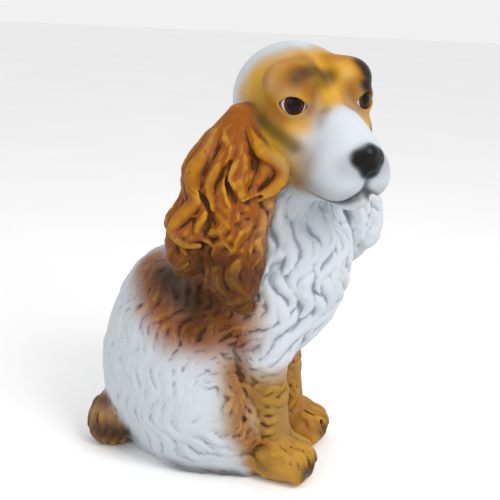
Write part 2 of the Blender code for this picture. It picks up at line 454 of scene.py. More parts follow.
form = Clay((-115, -160, -12), (105, 165, 430), 3.0)
form.press(allBaseShapes())
formSkin, _ = form.skin(2)
formSkin = formSkin[formSkin[:, 2] > 0]
formParts = partDistances(formSkin)
formPart = np.array(list(formParts))[np.argmin(np.stack(list(formParts.values())), 0)]
say(f"form blocked out, {len(formSkin)} points")


# Combing: which way the coat runs, and the locks laid along it.

# where, which way, how far the stroke reaches; each works on both sides of the dog
combing = [
    ((0, -112, 265), (0, 0.1, -1), 40), ((0, -115, 200), (0, 0.25, -1), 40),
    ((45, -75, 250), (0.1, 0.15, -1), 35),
    ((50, -55, 200), (0.05, 0.1, -1), 32), ((62, -20, 190), (0, 0.35, -1), 30),
    ((66, 25, 180), (0, 0.45, -1), 30),
    ((68, 35, 145), (0, 0.1, -1), 24), ((60, -25, 150), (0, 0.8, -0.8), 24),
    ((20, 115, 180), (0, 0.5, -1), 60),
    ((70, 0, 112), (0, 0.9, -0.5), 18), ((74, 36, 95), (0, 0.25, -1), 22), ((72, 40, 62), (0, -0.2, -1), 22),
    ((66, 22, 30), (0, -1, -0.55), 22), ((62, -20, 22), (0, -1, -0.5), 20),
    ((40, 110, 70), (0.1, 0.1, -1), 45),
    ((60, 75, 40), (0, -0.3, -1), 30), ((54, -40, 100), (0, 0.8, -0.7), 22),
    ((54, -44, 65), (0, 0.9, -0.4), 26),
    ((34, -78, 100), (0, 0.3, -1), 18), ((0, 135, 30), (-0.1, 0.3, -1), 30),
    ((45, -60, 25), (0, -0.8, -0.7), 22),
]

whorl = {"centre": (77, 14, 82), "reach": 50.0, "strength": 3.0}    # the coat circles the knee


def flow(points):
    # the combing strokes near each point, each weighing less the further it is
    side = np.where(points[:, 0] < 0, -1.0, 1.0)
    out = np.zeros_like(points)
    folded = points * np.stack([side, np.ones_like(side), np.ones_like(side)], 1)
    for centre, way, reach in combing:
        weight = np.exp(-((folded - centre) ** 2).sum(1) / reach ** 2) + 1e-6
        out += weight[:, None] * np.array(way) / np.linalg.norm(way)
    off = folded - whorl["centre"]
    around = np.stack([np.zeros(len(off)), off[:, 2], -off[:, 1]], 1)
    around /= np.linalg.norm(around, axis=1, keepdims=True) + 1e-6
    near = np.exp(-((off * [0.5, 1, 1]) ** 2).sum(1) / whorl["reach"] ** 2)
    out += around * (whorl["strength"] * near)[:, None]
    out[:, 0] *= side
    return out / np.linalg.norm(out, axis=1, keepdims=True)


def eased(value, low, high):
    t = np.clip((value - low) / (high - low), 0, 1)
    return t * t * (3 - 2 * t)


def scatter(candidates, spacing, rng):
    # keeps points that are no nearer to each other than the spacing
    kept = np.empty((0, 3))
    for point in candidates[rng.permutation(len(candidates))]:
        if not len(kept) or (((kept - point) ** 2).sum(1) > spacing ** 2).all():
            kept = np.vstack([kept, point])
    return kept


def walk(seeds, way, length, steps, wave, waveLength, uneven, rng):
    # steps all the strands over the form at once; neighbours swing from side to side together
    points = seeds.copy()
    path, normals = [], []
    phase = rng.uniform(-uneven, uneven, len(seeds)) - seeds[:, 2] * 2 * math.pi / waveLength
    swing = wave * rng.uniform(0.6, 1.3, len(seeds))
    stride = length * rng.uniform(0.75, 1.25, len(seeds)) / steps
    for step in range(steps + 1):
        normal = form.slope(points, 4.0)
        points = points - normal * form.sample(points)[:, None]
        path.append(points)
        normals.append(normal)
        ahead = way(points)
        ahead = ahead - normal * (ahead * normal).sum(1, keepdims=True)
        ahead /= np.maximum(np.linalg.norm(ahead, axis=1, keepdims=True), 1e-6)
        side = np.cross(normal, ahead)
        angle = swing * np.cos(2 * math.pi * step * stride / waveLength + phase)
        points = points + (ahead * np.cos(angle)[:, None] + side * np.sin(angle)[:, None]) * stride[:, None]
    return np.stack(path, 1), np.stack(normals, 1)


def lock(path, normals, width, rise, blend, tip=0.1, sunk=0.5):
    # a flattened tapering roll that comes up out of the skin and ends in a point
    t = np.linspace(0, 1, len(path))
    wide = width * (tip + (1 - tip) * (0.6 + 0.4 * np.minimum(t / 0.3, 1)) * (1 - t ** 2.6) ** 0.75)
    high = np.maximum(rise * (wide / width) ** 0.7, 0.25)
    radius = np.maximum((wide ** 2 / 4 + high ** 2) / (2 * high), wide / 2)
    lift = rise * np.clip(-sunk + 4.0 * t, -sunk, 1) * (1 - 0.35 * t ** 2)
    centres = path + normals * (np.minimum(lift, high + rise * 0.4) - radius)[:, None]
    return dict(roll(centres, radius, blend), margin=1.5)


def fineLines(path, normals, width, across):
    # strands that run along a lock, a share of its width to each side
    ahead = np.gradient(path, axis=0)
    side = np.cross(normals, ahead)
    side /= np.maximum(np.linalg.norm(side, axis=1, keepdims=True), 1e-6)
    t = np.linspace(0, 1, len(path))[:, None]
    return [path + side * (width * share * (0.75 + 0.25 * np.minimum(t * 4, 1)) * (1 - t ** 2))
            for share in across]


coat = [
    dict(name="ruff", part="body_shell", low=(0, -150, 122), high=(64, -24, 318), spacing=14, length=60,
         width=17, rise=6.2, wave=0.85, waveLength=62, uneven=1.05, blend=1.5, lines=(-0.24, 0.2), seed=3),
    dict(name="shoulder", part="body_shell", low=(28, -30, 108), high=(90, 78, 215), spacing=10.5, length=52,
         width=12, rise=3.8, wave=0.75, waveLength=44, blend=1.2, lines=(-0.2, 0.2), seed=5),
    dict(name="haunch", part="body_shell", low=(30, -5, 10), high=(90, 105, 118), spacing=11.5, length=56,
         width=13, rise=3.0, wave=0.75, waveLength=46, blend=2.6, lines=(-0.22, 0.2), seed=8,
         clear=((77, 12, 84), 16)),
    dict(name="rump", part="body_shell", low=(0, 92, 6), high=(70, 160, 120), spacing=11, length=50,
         width=12, rise=1.9, wave=0.8, waveLength=48, blend=2.2, lines=(0.1,), seed=9),
    dict(name="flank", part="body_shell", low=(30, 40, 100), high=(90, 135, 170), spacing=11, length=48,
         width=11, rise=2.2, wave=0.8, waveLength=46, blend=2.0, lines=(-0.2, 0.2), seed=17),
    dict(name="elbow", part="body_shell", low=(34, -48, 34), high=(90, -4, 120), spacing=7.5, length=42,
         width=8.5, rise=4.4, wave=0.7, waveLength=28, blend=1.0, lines=(0.0,), seed=18),
    dict(name="knee", part="body_shell", low=(20, -48, 6), high=(90, 5, 42), spacing=8.5, length=32,
         width=8.5, rise=2.4, wave=0.5, waveLength=30, blend=1.4, lines=(0.0,), seed=10),
    dict(name="nape", part="body_shell", low=(0, -24, 190), high=(64, 90, 318), spacing=14, length=56,
         width=15, rise=2.8, wave=0.8, waveLength=52, blend=2.0, lines=(-0.2, 0.2), seed=19),
    dict(name="ear", part="right_ear", low=(30, -140, 165), high=(120, 70, 352), spacing=14, length=80,
         width=14, rise=4.2, wave=0.95, waveLength=54, uneven=0.6, blend=1.4, lines=(-0.25, 0.22), seed=21),
    dict(name="ear", part="left_ear", low=(10, -140, 165), high=(120, 70, 330), spacing=13, length=70,
         width=16, rise=5.0, wave=0.8, waveLength=52, blend=1.3, lines=(-0.22, 0.22), seed=22),
    dict(name="tail", part="tail", low=(0, 95, 2), high=(60, 170, 60), spacing=9, length=38,
         width=10.5, rise=4.0, wave=0.6, waveLength=32, blend=1.2, lines=(-0.2, 0.2), seed=16),
]
for lap, leg in enumerate(("left", "right")):
    coat += [
        dict(name="sleeve", part=f"{leg}_foreleg", low=(0, -90, 104), high=(90, -5, 190), spacing=9,
             length=40, width=10.5, rise=3.0, wave=0.6, waveLength=42, blend=1.2, lines=(-0.2, 0.2),
             seed=31 + lap),
        dict(name="feather", part=f"{leg}_foreleg", low=(0, -90, 34), high=(90, 0, 124), spacing=8, length=40,
             width=8, rise=3.0, wave=0.6, waveLength=26, blend=1.2, lines=(0.0,), seed=12 + lap),
        dict(name="foot", part=f"{leg}_hind_foot", low=(0, -45, 2), high=(90, 20, 40), spacing=7.5, length=22,
             width=7, rise=1.5, wave=0.3, waveLength=24, blend=1.2, lines=(0.0,), seed=14 + lap),
    ]


def combCoat():
    shapes, lines = [], []
    spot = np.hstack([np.abs(formSkin[:, :1]), formSkin[:, 1:]])
    for area in coat:
        wanted = ((spot > area["low"]) & (spot < area["high"])).all(1) & (formPart == area["part"])
        if "clear" in area:
            centre, radius = area["clear"]
            wanted &= np.linalg.norm(spot - centre, axis=1) > radius
        rng = np.random.default_rng(area["seed"])
        seeds = scatter(formSkin[wanted], area["spacing"], rng)
        if not len(seeds):
            continue
        paths, normals = walk(seeds, flow, area["length"], 9, area["wave"], area["waveLength"],
                              area.get("uneven", 0.5), rng)
        for path, normal in zip(paths, normals):
            grown = rng.uniform(0.8, 1.2)
            rise = area["rise"] * grown
            if "clear" in area:
                # the locks fade into the bare place
                middle = np.abs(path[len(path) // 2] * [1, 0, 0]) + path[len(path) // 2] * [0, 1, 1]
                rise *= float(eased(np.linalg.norm(middle - centre), radius, 2.3 * radius)) + 0.15
            shapes.append(lock(path, normal, area["width"] * grown, rise, area["blend"]))
            lines += fineLines(path, normal, area["width"] * grown, area["lines"])
    return shapes, lines


# The long locks of the right ear, from the root down; width and rise are each lock's own.
earLocks = [
    dict(points=[(-57, 0, 355), (-74, 10, 340), (-84, 17, 324), (-90, 25, 307), (-93, 25, 293),
                 (-92, 20, 282), (-94, 34, 266), (-97, 41, 253), (-99, 31, 243), (-94, 16, 241)],
         width=18, rise=8.5),
    dict(points=[(-64, -10, 350), (-83, -3, 331), (-89, 5, 311), (-92, 10, 294), (-95, 4, 280),
                 (-96, 15, 264), (-97, 17, 251), (-97, 4, 243)], width=14, rise=6.0),
    dict(points=[(-60, -16, 352), (-69, -23, 339), (-74, -34, 326), (-70, -48, 315), (-71, -51, 304),
                 (-79, -44, 292), (-85, -31, 286), (-92, -22, 284)], width=15, rise=8.5),
    dict(points=[(-84, -31, 280), (-80, -39, 271), (-81, -41, 259), (-88, -36, 248), (-85, -40, 236),
                 (-90, -32, 224)], width=14, rise=7.0),
    dict(points=[(-69, -16, 343), (-84, -16, 324), (-88, -10, 306), (-94, -6, 289), (-97, -14, 273),
                 (-97, -5, 255), (-101, -14, 242)], width=12, rise=5.0),
    dict(points=[(-100, -8, 243), (-100, -19, 232), (-100, -15, 216), (-94, -24, 203), (-85, -32, 194)],
         width=16, rise=6.5),
    dict(points=[(-97, 36, 248), (-95, 44, 237), (-90, 46, 225), (-92, 36, 217), (-96, 26, 223)],
         width=11, rise=6.5),
    dict(points=[(-92, 16, 235), (-101, 0, 222), (-99, -2, 205), (-97, -13, 191)], width=14, rise=5.0),
]
earGrooves = [
    dict(points=[(-86, -8, 317), (-93, -8, 298), (-96, -16, 282), (-99, -14, 266)], radius=2.6),
    dict(points=[(-82, -36, 288), (-92, -24, 281), (-98, -16, 275)], radius=2.8),
    dict(points=[(-82, -40, 255), (-95, -30, 253), (-101, -22, 244)], radius=2.6),
    dict(points=[(-101, -26, 240), (-103, -12, 232), (-103, -2, 219)], radius=2.6),
    dict(points=[(-93, 18, 290), (-96, 6, 272), (-95, 11, 252)], radius=2.2),
    dict(points=[(-93, 22, 230), (-98, 8, 230), (-102, -6, 228)], radius=2.8),
]


def smoothed(points, steps):
    # a Catmull-Rom curve through the points
    p = np.array(points, float)
    p = np.vstack([2 * p[0] - p[1], p, 2 * p[-1] - p[-2]])
    out = []
    for a, b, c, d in zip(p, p[1:], p[2:], p[3:]):
        for t in np.linspace(0, 1, steps, endpoint=False):
            out.append(0.5 * (2 * b + (c - a) * t + (2 * a - 5 * b + 4 * c - d) * t * t
                              + (3 * b - a - 3 * c + d) * t ** 3))
    return np.array(out + [p[-2]])


def layLocks(locks):
    shapes, lines = [], []
    for each in locks:
        path = smoothed(each["points"], 3)
        normals = form.slope(path, 4.0)
        path = path - normals * form.sample(path)[:, None]
        shapes.append(lock(path, normals, each["width"], each["rise"], 1.2, tip=0.25, sunk=0.2))
        lines += fineLines(path, normals, each["width"], (-0.28, -0.05, 0.18))
    return shapes, lines


def grooveShapes(grooves):
    shapes = []
    for each in grooves:
        path = smoothed(each["points"], 3)
        taper = np.sin(np.linspace(0.15, math.pi - 0.15, len(path))) ** 0.7
        shapes.append(roll(path, each["radius"] * taper, 4.0, carve=True))
    return shapes


paw = {"toes": 4, "spread": 12.5}


def pawShapes(side):
    # toes set in a fan, with a groove between each two
    shapes = []
    for i in range(paw["toes"]):
        bow = abs(i - (paw["toes"] - 1) / 2)
        x = side * 43 + (i - (paw["toes"] - 1) / 2) * paw["spread"]
        shapes.append(roll([(x * 0.985, -64, 18), (x, -82 + bow * 3.4, 12)], [10.5, 10 - bow * 0.5], 3.0))
    for i in range(paw["toes"] - 1):
        x = side * 43 + (i - (paw["toes"] - 2) / 2) * paw["spread"]
        groove = [(x * 0.99, -68, 37), (x, -85, 27), (x, -97, 6)]
        shapes.append(roll(groove, [0.8, 2.2, 2.0], 2.5, carve=True))
    return shapes


pourHole = {"at": (0, 40), "radius": 20, "depth": 30}


def cutBase(clay):
    # flat underneath, with the pouring hole
    x, y, z = np.meshgrid(*clay.axes, indexing="ij", sparse=True)
    hole = np.hypot(x - pourHole["at"][0], y - pourHole["at"][1]) - pourHole["radius"]
    hole = np.maximum(hole, z - pourHole["depth"])
    np.maximum(clay.field, -z, out=clay.field)
    np.maximum(clay.field, -hole, out=clay.field)


coatLocks, coatLines = combCoat()
longLocks, longLines = layLocks(earLocks)
say(f"{len(coatLocks)} locks combed and {len(longLocks)} long ones laid on the ear")


def sculpt(low, high, cell):
    clay = Clay(low, high, cell * (1))
    clay.press(allBaseShapes())
    clay.press(coatLocks)
    clay.press(longLocks)
    clay.press(grooveShapes(earGrooves))
    clay.press(pawShapes(-1) + pawShapes(1))
    clay.press(faceShapes())
    cutBase(clay)
    return clay


# the corners of the two blocks of clay; the head has a finer one of its own
blocks = {
    "body": ((-112, -158, -3), (104, 165, 400)),
    "head": ((-112, -158, 274), (72, 32, 426)),
}
bodyClay = sculpt(*blocks["body"], figure["skinCell"])
headClay = sculpt(*blocks["head"], figure["headCell"])
say(f"clay pressed, {(bodyClay.field.size + headClay.field.size) / 1e6:.1f} million cells")


def settle(points, clay):
    for _ in range(4):
        points = points - clay.slope(points, 1.5) * clay.sample(points)[:, None]
    return points


def meshObject(name, points, faces, edges=(), smooth=False):
    mesh = bpy.data.meshes.new(name)
    mesh.vertices.add(len(points))
    mesh.vertices.foreach_set("co", np.asarray(points, np.float32).ravel())
    if len(edges):
        mesh.edges.add(len(edges))
        mesh.edges.foreach_set("vertices", np.asarray(edges, np.int32).ravel())
    if len(faces):
        faces = np.asarray(faces, np.int32)
        mesh.loops.add(faces.size)
        mesh.loops.foreach_set("vertex_index", faces.ravel())
        mesh.polygons.add(len(faces))
        mesh.polygons.foreach_set("loop_start", np.arange(0, faces.size, faces.shape[1], dtype=np.int32))
    mesh.update(calc_edges=True)
    if smooth:
        mesh.polygons.foreach_set("use_smooth", np.ones(len(faces), bool))
    made = bpy.data.objects.new(name, mesh)
    bpy.context.scene.collection.objects.link(made)
    return made


def storeValues(piece, name, values):
    layer = piece.data.attributes.new(name, "FLOAT", "POINT")
    layer.data.foreach_set("value", np.array(values, np.float32))


# Any node of a tree is added by one call, and its output does arithmetic.
class Wire:
    def __init__(self, tree, socket):
        self.tree = tree
        self.socket = socket

    def maths(self, operation, a, b):
        return addNode(self.tree, "ShaderNodeMath", {"operation": operation}, {0: a, 1: b})

    def __add__(self, other):
        return self.maths("ADD", self, other)

    def __radd__(self, other):
        return self.maths("ADD", other, self)

    def __sub__(self, other):
        return self.maths("SUBTRACT", self, other)

    def __rsub__(self, other):
        return self.maths("SUBTRACT", other, self)

    def __mul__(self, other):
        return self.maths("MULTIPLY", self, other)

    def __rmul__(self, other):
        return self.maths("MULTIPLY", other, self)

    def __truediv__(self, other):
        return self.maths("DIVIDE", self, other)

    def __rtruediv__(self, other):
        return self.maths("DIVIDE", other, self)

    def __pow__(self, other):
        return self.maths("POWER", self, other)

    def between(self, low, high, start=0.0, end=1.0):
        # the value's place from low to high, eased, sent to start to end
        return addNode(self.tree, "ShaderNodeMapRange", {"interpolation_type": "SMOOTHSTEP"},
                       {"Value": self, "From Min": low, "From Max": high, "To Min": start, "To Max": end})


def addNode(tree, kind, settings=None, values=None, out=0):
    node = tree.nodes.new(kind)
    for key, value in (settings or {}).items():
        setattr(node, key, value)
    for key, value in (values or {}).items():
        socket = node.inputs[key]
        if isinstance(value, Wire):
            tree.links.new(value.socket, socket)
        else:
            socket.default_value = value
    return Wire(tree, node.outputs[out]) if len(node.outputs) else node


# Fine strands are scored along the locks, into the finished skin.
strandScore = {"Width": 2.0, "Depth": 0.55, "Uneven": 0.7, "Seed": 4}    # drawn mm


def strandTree(material):
    tree = bpy.data.node_groups.new("combed strands", "GeometryNodeTree")
    tree.interface.new_socket("Geometry", in_out="INPUT", socket_type="NodeSocketGeometry")
    tree.interface.new_socket("Strands", in_out="INPUT", socket_type="NodeSocketObject")
    for name in ("Width", "Depth", "Uneven"):
        tree.interface.new_socket(name, in_out="INPUT", socket_type="NodeSocketFloat")
    tree.interface.new_socket("Seed", in_out="INPUT", socket_type="NodeSocketInt")
    tree.interface.new_socket("Geometry", in_out="OUTPUT", socket_type="NodeSocketGeometry")
    given = tree.nodes.new("NodeGroupInput")
    wire = {socket.name: Wire(tree, socket) for socket in given.outputs if socket.name}
    strands = addNode(tree, "GeometryNodeObjectInfo", None, {"Object": wire["Strands"]}, "Geometry")
    near = addNode(tree, "GeometryNodeProximity", {"target_element": "EDGES"}, {0: strands}, "Distance")
    patch = addNode(tree, "ShaderNodeTexNoise", {"noise_dimensions": "4D"},
                    {"Vector": addNode(tree, "GeometryNodeInputPosition"), "W": wire["Seed"] * 7.3,
                     "Scale": 60.0, "Detail": 1.0})
    score = near.between(0.0, wire["Width"], 1.0, 0.0)
    score = score * (1 - wire["Uneven"] * patch)
    normal = addNode(tree, "GeometryNodeInputNormal")
    inwards = addNode(tree, "ShaderNodeVectorMath", {"operation": "SCALE"},
                      {0: normal, "Scale": score * wire["Depth"] * -1})
    scored = addNode(tree, "GeometryNodeStoreNamedAttribute", {"data_type": "FLOAT", "domain": "POINT"},
                     {"Geometry": wire["Geometry"], "Name": "score", "Value": score})
    moved = addNode(tree, "GeometryNodeSetPosition", None, {"Geometry": scored, "Offset": inwards})
    real = addNode(tree, "GeometryNodeRealizeInstances", None, {"Geometry": moved})
    dressed = addNode(tree, "GeometryNodeSetMaterial", None, {"Geometry": real, "Material": material})
    addNode(tree, "NodeGroupOutput", None, {0: dressed})
    return tree


def scoreStrands(skin, strands, material):
    modifier = skin.modifiers.new("combed strands", "NODES")
    modifier.node_group = strandTree(material)
    given = {item.name: item.identifier for item in modifier.node_group.interface.items_tree
             if item.in_out == "INPUT"}
    modifier[given["Strands"]] = strands
    for name in ("Width", "Depth"):
        modifier[given[name]] = strandScore[name] * unit
    modifier[given["Uneven"]] = strandScore["Uneven"]
    modifier[given["Seed"]] = strandScore["Seed"]
    bpy.context.view_layer.update()
    seen = skin.evaluated_get(bpy.context.evaluated_depsgraph_get())
    plain = bpy.data.meshes.new_from_object(seen)
    skin.modifiers.clear()
    return plain


def linear(red, green, blue):
    # from display values of 0 to 255
    return tuple(((v / 255 + 0.055) / 1.055) ** 2.4 if v > 10 else v / 3295
                 for v in (red, green, blue)) + (1.0,)


# Airbrushed colour, with painted shade in some creases and under the muzzle. A spray is a line of points, a
# radius and a strength; the head's are in the head's own frame and on both sides of it, the body's are on
# both sides unless they start right of the middle.
paint = {
    "tan": {
        "head": [([(58, -36, -16), (52, -44, -36), (40, -48, -52)], 19, 0.95),
                 ([(58, -20, 14), (56, -4, 4)], 20, 0.7),
                 ([(0, -40, 52), (0, -56, 30)], 14, 0.7),
                 ([(46, -6, 50), (24, -18, 58), (6, -24, 60)], 17, 0.5),
                 ([(56, -40, -20), (50, -52, -40), (38, -60, -34)], 17, 0.6)],
        "body": [([(62, -12, 110), (68, -18, 86), (71, -20, 62), (66, -32, 42)], 17, 0.85),
                 ([(-84, -38, 236), (-72, -36, 200), (-62, -30, 165)], 9, 0.45)],
    },
    "gold": {
        "head": [([(50, -10, 38), (54, -20, 22), (57, -26, 2), (52, -36, -12)], 22, 0.97),
                 ([(48, -20, 44), (26, -32, 52), (8, -34, 54)], 20, 0.98),
                 ([(42, -44, 16), (30, -54, 26)], 21, 0.98),
                 ([(8, -44, 40), (9, -58, 22)], 13, 0.9),
                 ([(0, -28, 56), (0, -44, 44), (0, -55, 26)], 12, 0.9),
                 ([(46, -44, 42), (36, -47, 46), (22, -46, 46)], 13, 0.97),
                 ([(54, 8, 22), (52, -6, 30)], 15, 0.75), ([(34, -56, 0), (46, -48, -8)], 12, 0.8),
                 ([(58, -36, -24), (50, -44, -44)], 13, 0.4)],
        "body": [],
    },
    "orange": {
        "head": [([(52, -26, 36), (36, -34, 48), (20, -34, 53), (12, -32, 54)], 10, 0.6),
                 ([(44, -42, 32), (32, -50, 32), (20, -56, 26)], 10, 0.7),
                 ([(44, -46, 41), (34, -48, 46)], 10, 0.5), ([(54, -34, 14), (48, -44, 4)], 10, 0.65),
                 ([(57, -20, -6), (60, -24, 16)], 10, 0.5), ([(26, -60, 12)], 7, 0.6)],
        "body": [([(-26, 84, 198), (-52, 66, 168), (-66, 46, 150), (-62, 18, 150)], 24, 0.95),
                 ([(-50, 20, 190), (-64, 0, 160)], 34, 0.95), ([(-54, -4, 152), (-60, -12, 140)], 16, 0.7),
                 ([(62, -14, 108), (68, -20, 84), (70, -22, 60), (66, -34, 40)], 13, 0.75),
                 ([(68, -30, 22)], 10, 0.5),
                 ([(60, -38, 98), (62, -42, 68), (62, -46, 42)], 10, 0.5)],
    },
    "olive": {
        "head": [([(62, -7, 13), (59, -19, 4), (54, -33, -3), (49, -47, -11), (41, -56, -20)], 7.5, 0.85),
                 ([(62, -14, 22), (60, -22, 8)], 16, 0.35), ([(58, -36, -28)], 14, 0.25)],
        "body": [],
    },
    "brown": {
        # head: the line down the muzzle's side, the thin line in the cheek crease (radius 1.8) and the line
        # along the brow furrow are painted shade in those grooves
        "head": [([(15, -56, 26), (16, -62, 10), (20, -66, 0)], 6, 0.35),
                 ([(66, -34, -46), (52, -42, -58)], 8, 0.6), ([(62, -39, -36), (42, -46, -44)], 1.8, 0.8),
                 ([(32, -54, 16)], 17, 0.35), ([(0, -24, 60), (0, -42, 50)], 3.0, 0.4)],
        "body": [([(-40, 60, 190), (-60, 30, 178), (-66, 6, 178)], 22, 0.9), ([(-60, 30, 150)], 16, 0.5),
                 ([(-90, 20, 226), (-99, -8, 226), (-90, -22, 196)], 17, 0.7),
                 ([(58, -60, 22), (72, -36, 18)], 8, 0.5),
                 ([(66, 100, 3), (72, 60, 6), (70, 20, 3), (60, -20, 3)], 10, 0.7),
                 ([(26, 144, 18), (41, 128, 20), (42, 106, 18)], 14, 0.85),
                 ([(20, 146, 44), (34, 126, 50)], 7, 0.6)],
    },
    "black": {
        "head": [([(0, -110, -20), (10, -107, -25)], 8.6, 1.0, 3),
                 ([(0, -112, -25), (0, -110, -34)], 10.5, 1.0, 3),
                 ([(9, -107, -26), (3, -110, -34)], 8.4, 1.0, 3),
                 ([(0, -110, -38), (0, -108, -46), (0, -103, -55)], 3.2, 0.95),
                 # the mouth line is a painted dark line and partly painted shade under the upper lip; the
                 # wide faint line after it is painted shade under the muzzle
                 (mouthLine, 5.0, 0.95), ([(16, -98, -56), (30, -80, -56), (40, -60, -54)], 11, 0.32),
                 ([(12, -108, -32), (20, -103, -32)], 11, 0.3), ([(0, -108, -34)], 20, 0.2)],
        "body": [([(26, -96, 16), (44, -99, 17), (64, -90, 14)], 11, 0.95),
                 ([(-6, 152, 30), (-24, 146, 8)], 13, 0.7)],
    },
    "pink": {
        "head": [([(0, -98, -66)], 6, 0.3), ([(27, -58, 14)], 3, 0.6)],
        "body": [([(-82, -40, 240), (-78, -36, 196)], 7, 0.3)],
    },
}
# the right brow is brown, the left one black; these lines aren't mirrored
brows = {
    "brown": [([(-36, -50, 40), (-24, -49, 43), (-8, -43, 43), (2, -44, 38)], 9.5, 0.8),
              ([(-12, -52, 32), (-6, -50, 34)], 8, 0.5)],
    "black": [([(37, -44, 48), (40, -49, 41), (44, -49, 32), (37, -54, 28)], 9.0, 0.98, 1.8)],
}


def sprayed(points, sprays):
    left = np.ones(len(points))
    for line, radius, strength, *hard in sprays:
        line = np.array(line, float)
        near = np.full(len(points), 1e9)
        for a, b in zip(line, np.vstack([line[1:], line[-1:]])):
            along = b - a
            t = np.clip((points - a) @ along / max(along @ along, 1e-6), 0, 1)
            near = np.minimum(near, ((points - a - t[:, None] * along) ** 2).sum(1))
        left *= 1 - strength * np.exp(-(near / radius ** 2) ** (hard[0] if hard else 1.3))
    return 1 - left


def masks(points, shares):
    # how much of each paint lies at each point; shares says how far inside each part it is
    inHead = (points - headMiddle) @ headTurn
    folded = inHead.copy()
    folded[:, 0] = np.abs(folded[:, 0])
    onFace = eased(shares["head_shell"], -6, 2)
    z = points[:, 2]
    out = {}
    for name, sprays in paint.items():
        face = sprayed(folded, sprays["head"]) * onFace
        right = [s for s in sprays["body"] if s[0][0][0] < 0]
        both = [s for s in sprays["body"] if s[0][0][0] >= 0]
        mirrored = points.copy()
        mirrored[:, 0] = np.abs(points[:, 0])
        coatPaint = 1 - (1 - sprayed(points, right)) * (1 - sprayed(mirrored, both))
        out[name] = 1 - (1 - face) * (1 - coatPaint * (1 - onFace))
    for name, sprays in brows.items():
        out[name] = 1 - (1 - out[name]) * (1 - sprayed(inHead, sprays) * onFace)
    ear = eased(shares["right_ear"], -5, 4)
    frontEdge = eased(-points[:, 1] - 0.12 * (300 - z), 24, 46) * eased(300 - z, 0, 60)
    out["orange"] = np.maximum(out["orange"], ear * (1 - 0.75 * frontEdge))
    out["tan"] = np.maximum(out["tan"], ear * 0.7)
    out["brown"] = np.maximum(out["brown"], ear * eased(266 - z, 0, 56) * 0.7 * (1 - 0.6 * frontEdge))
    tail = eased(shares["tail"], -8, 6)
    out["tan"] = np.maximum(out["tan"], tail * 0.8)
    out["orange"] = np.maximum(out["orange"], tail * 0.5)
    for side in ("left", "right"):
        leg = eased(shares[f"{side}_foreleg"], -12, 2)
        low = eased(128 - z, 0, 36)
        toes = eased(52 - z, 0, 16)
        near = side == "right"
        out["tan"] = np.maximum(out["tan"], leg * low * (0.95 if near else 0.6))
        out["olive"] = np.maximum(out["olive"], leg * low * (1 - toes) * (0.22 if near else 0.1))
        out["gold"] = np.maximum(out["gold"], leg * low * (0.35 + 0.25 * toes if near else 0.8))
        out["orange"] = np.maximum(out["orange"], leg * low * (0.25 if near else 0.6))
    return out


colours = {
    "white": linear(184, 190, 195),
    # painted shade: the blue-grey that the white turns in hollows and scored strands
    "hollow": linear(84, 94, 110),
    "tan": linear(142, 114, 60),
    "gold": linear(186, 138, 26),
    "orange": linear(132, 70, 4),
    "olive": linear(72, 58, 14),
    "brown": linear(44, 20, 2),
    "black": linear(8, 8, 9),
    "pink": linear(158, 112, 96),
}
glaze = {"roughness": 0.45, "coat": 0.0, "shine": 0.16}


def newMaterial(name):
    # with its tree, its shader and the wire of the object's own coordinates
    material = bpy.data.materials.new(name)
    material.use_nodes = True
    tree = material.node_tree
    return material, tree, tree.nodes["Principled BSDF"], addNode(tree, "ShaderNodeTexCoord", out="Object")


def mixed(tree, amount, a, b):
    # the mix node's colour sockets come sixth and seventh, and its colour comes out third
    settings = {"data_type": "RGBA", "clamp_factor": True}
    return addNode(tree, "ShaderNodeMix", settings, {0: amount, 6: a, 7: b}, 2)


def ceramicMaterial():
    material, tree, shader, place = newMaterial("painted ceramic")

    def painted(name):
        return addNode(tree, "ShaderNodeAttribute", {"attribute_name": name}, out="Fac")

    def cloud(scale, detail=3.0):
        return addNode(tree, "ShaderNodeTexNoise", None, {"Vector": place, "Scale": scale, "Detail": detail})

    drift, grain = cloud(38.0), cloud(420.0, 2.0)
    hollow, ridgeHighlight, score = painted("hollow"), painted("ridgeHighlight"), painted("score")
    warm = painted("warm")
    # painted shade: hollows and scored strands darken the white towards blue-grey here and the warm coat
    # towards brown below
    creaseShade = hollow.between(0.08, 1.0) * 0.9 + score * 0.12
    colour = mixed(tree, creaseShade * 0.6, colours["white"], colours["hollow"])
    for name in ("tan", "gold", "orange", "pink", "olive"):
        amount = painted(name) * (0.86 + 0.28 * drift)
        colour = mixed(tree, amount, colour, colours[name])
    # painted highlight: the ridges of the warm coat turn gold
    colour = mixed(tree, warm * ridgeHighlight.between(0.1, 1.0) * 0.65, colour, colours["gold"])
    # painted shade: the hollows of the warm coat turn brown
    colour = mixed(tree, warm * (creaseShade * 0.95), colour, colours["brown"])
    colour = mixed(tree, painted("brown") * (0.8 + 0.4 * drift), colour, colours["brown"])
    colour = mixed(tree, painted("black"), colour, colours["black"])
    tree.links.new(colour.socket, shader.inputs["Base Color"])
    rough = glaze["roughness"] + grain * 0.08 - painted("black") * 0.12
    tree.links.new(rough.socket, shader.inputs["Roughness"])
    shader.inputs["Coat Weight"].default_value = glaze["coat"]
    shader.inputs["Specular IOR Level"].default_value = glaze["shine"]
    shader.inputs["Coat Roughness"].default_value = 0.3
    bump = addNode(tree, "ShaderNodeBump", None, {"Strength": 0.12, "Distance": 0.0004, "Height": grain})
    tree.links.new(bump.socket, shader.inputs["Normal"])
    return material


ceramic = ceramicMaterial()


def edgesOf(faces):
    pairs = np.concatenate([np.stack([faces[:, i], faces[:, (i + 1) % faces.shape[1]]], 1)
                            for i in range(faces.shape[1])])
    return np.unique(np.sort(pairs, 1), axis=0)


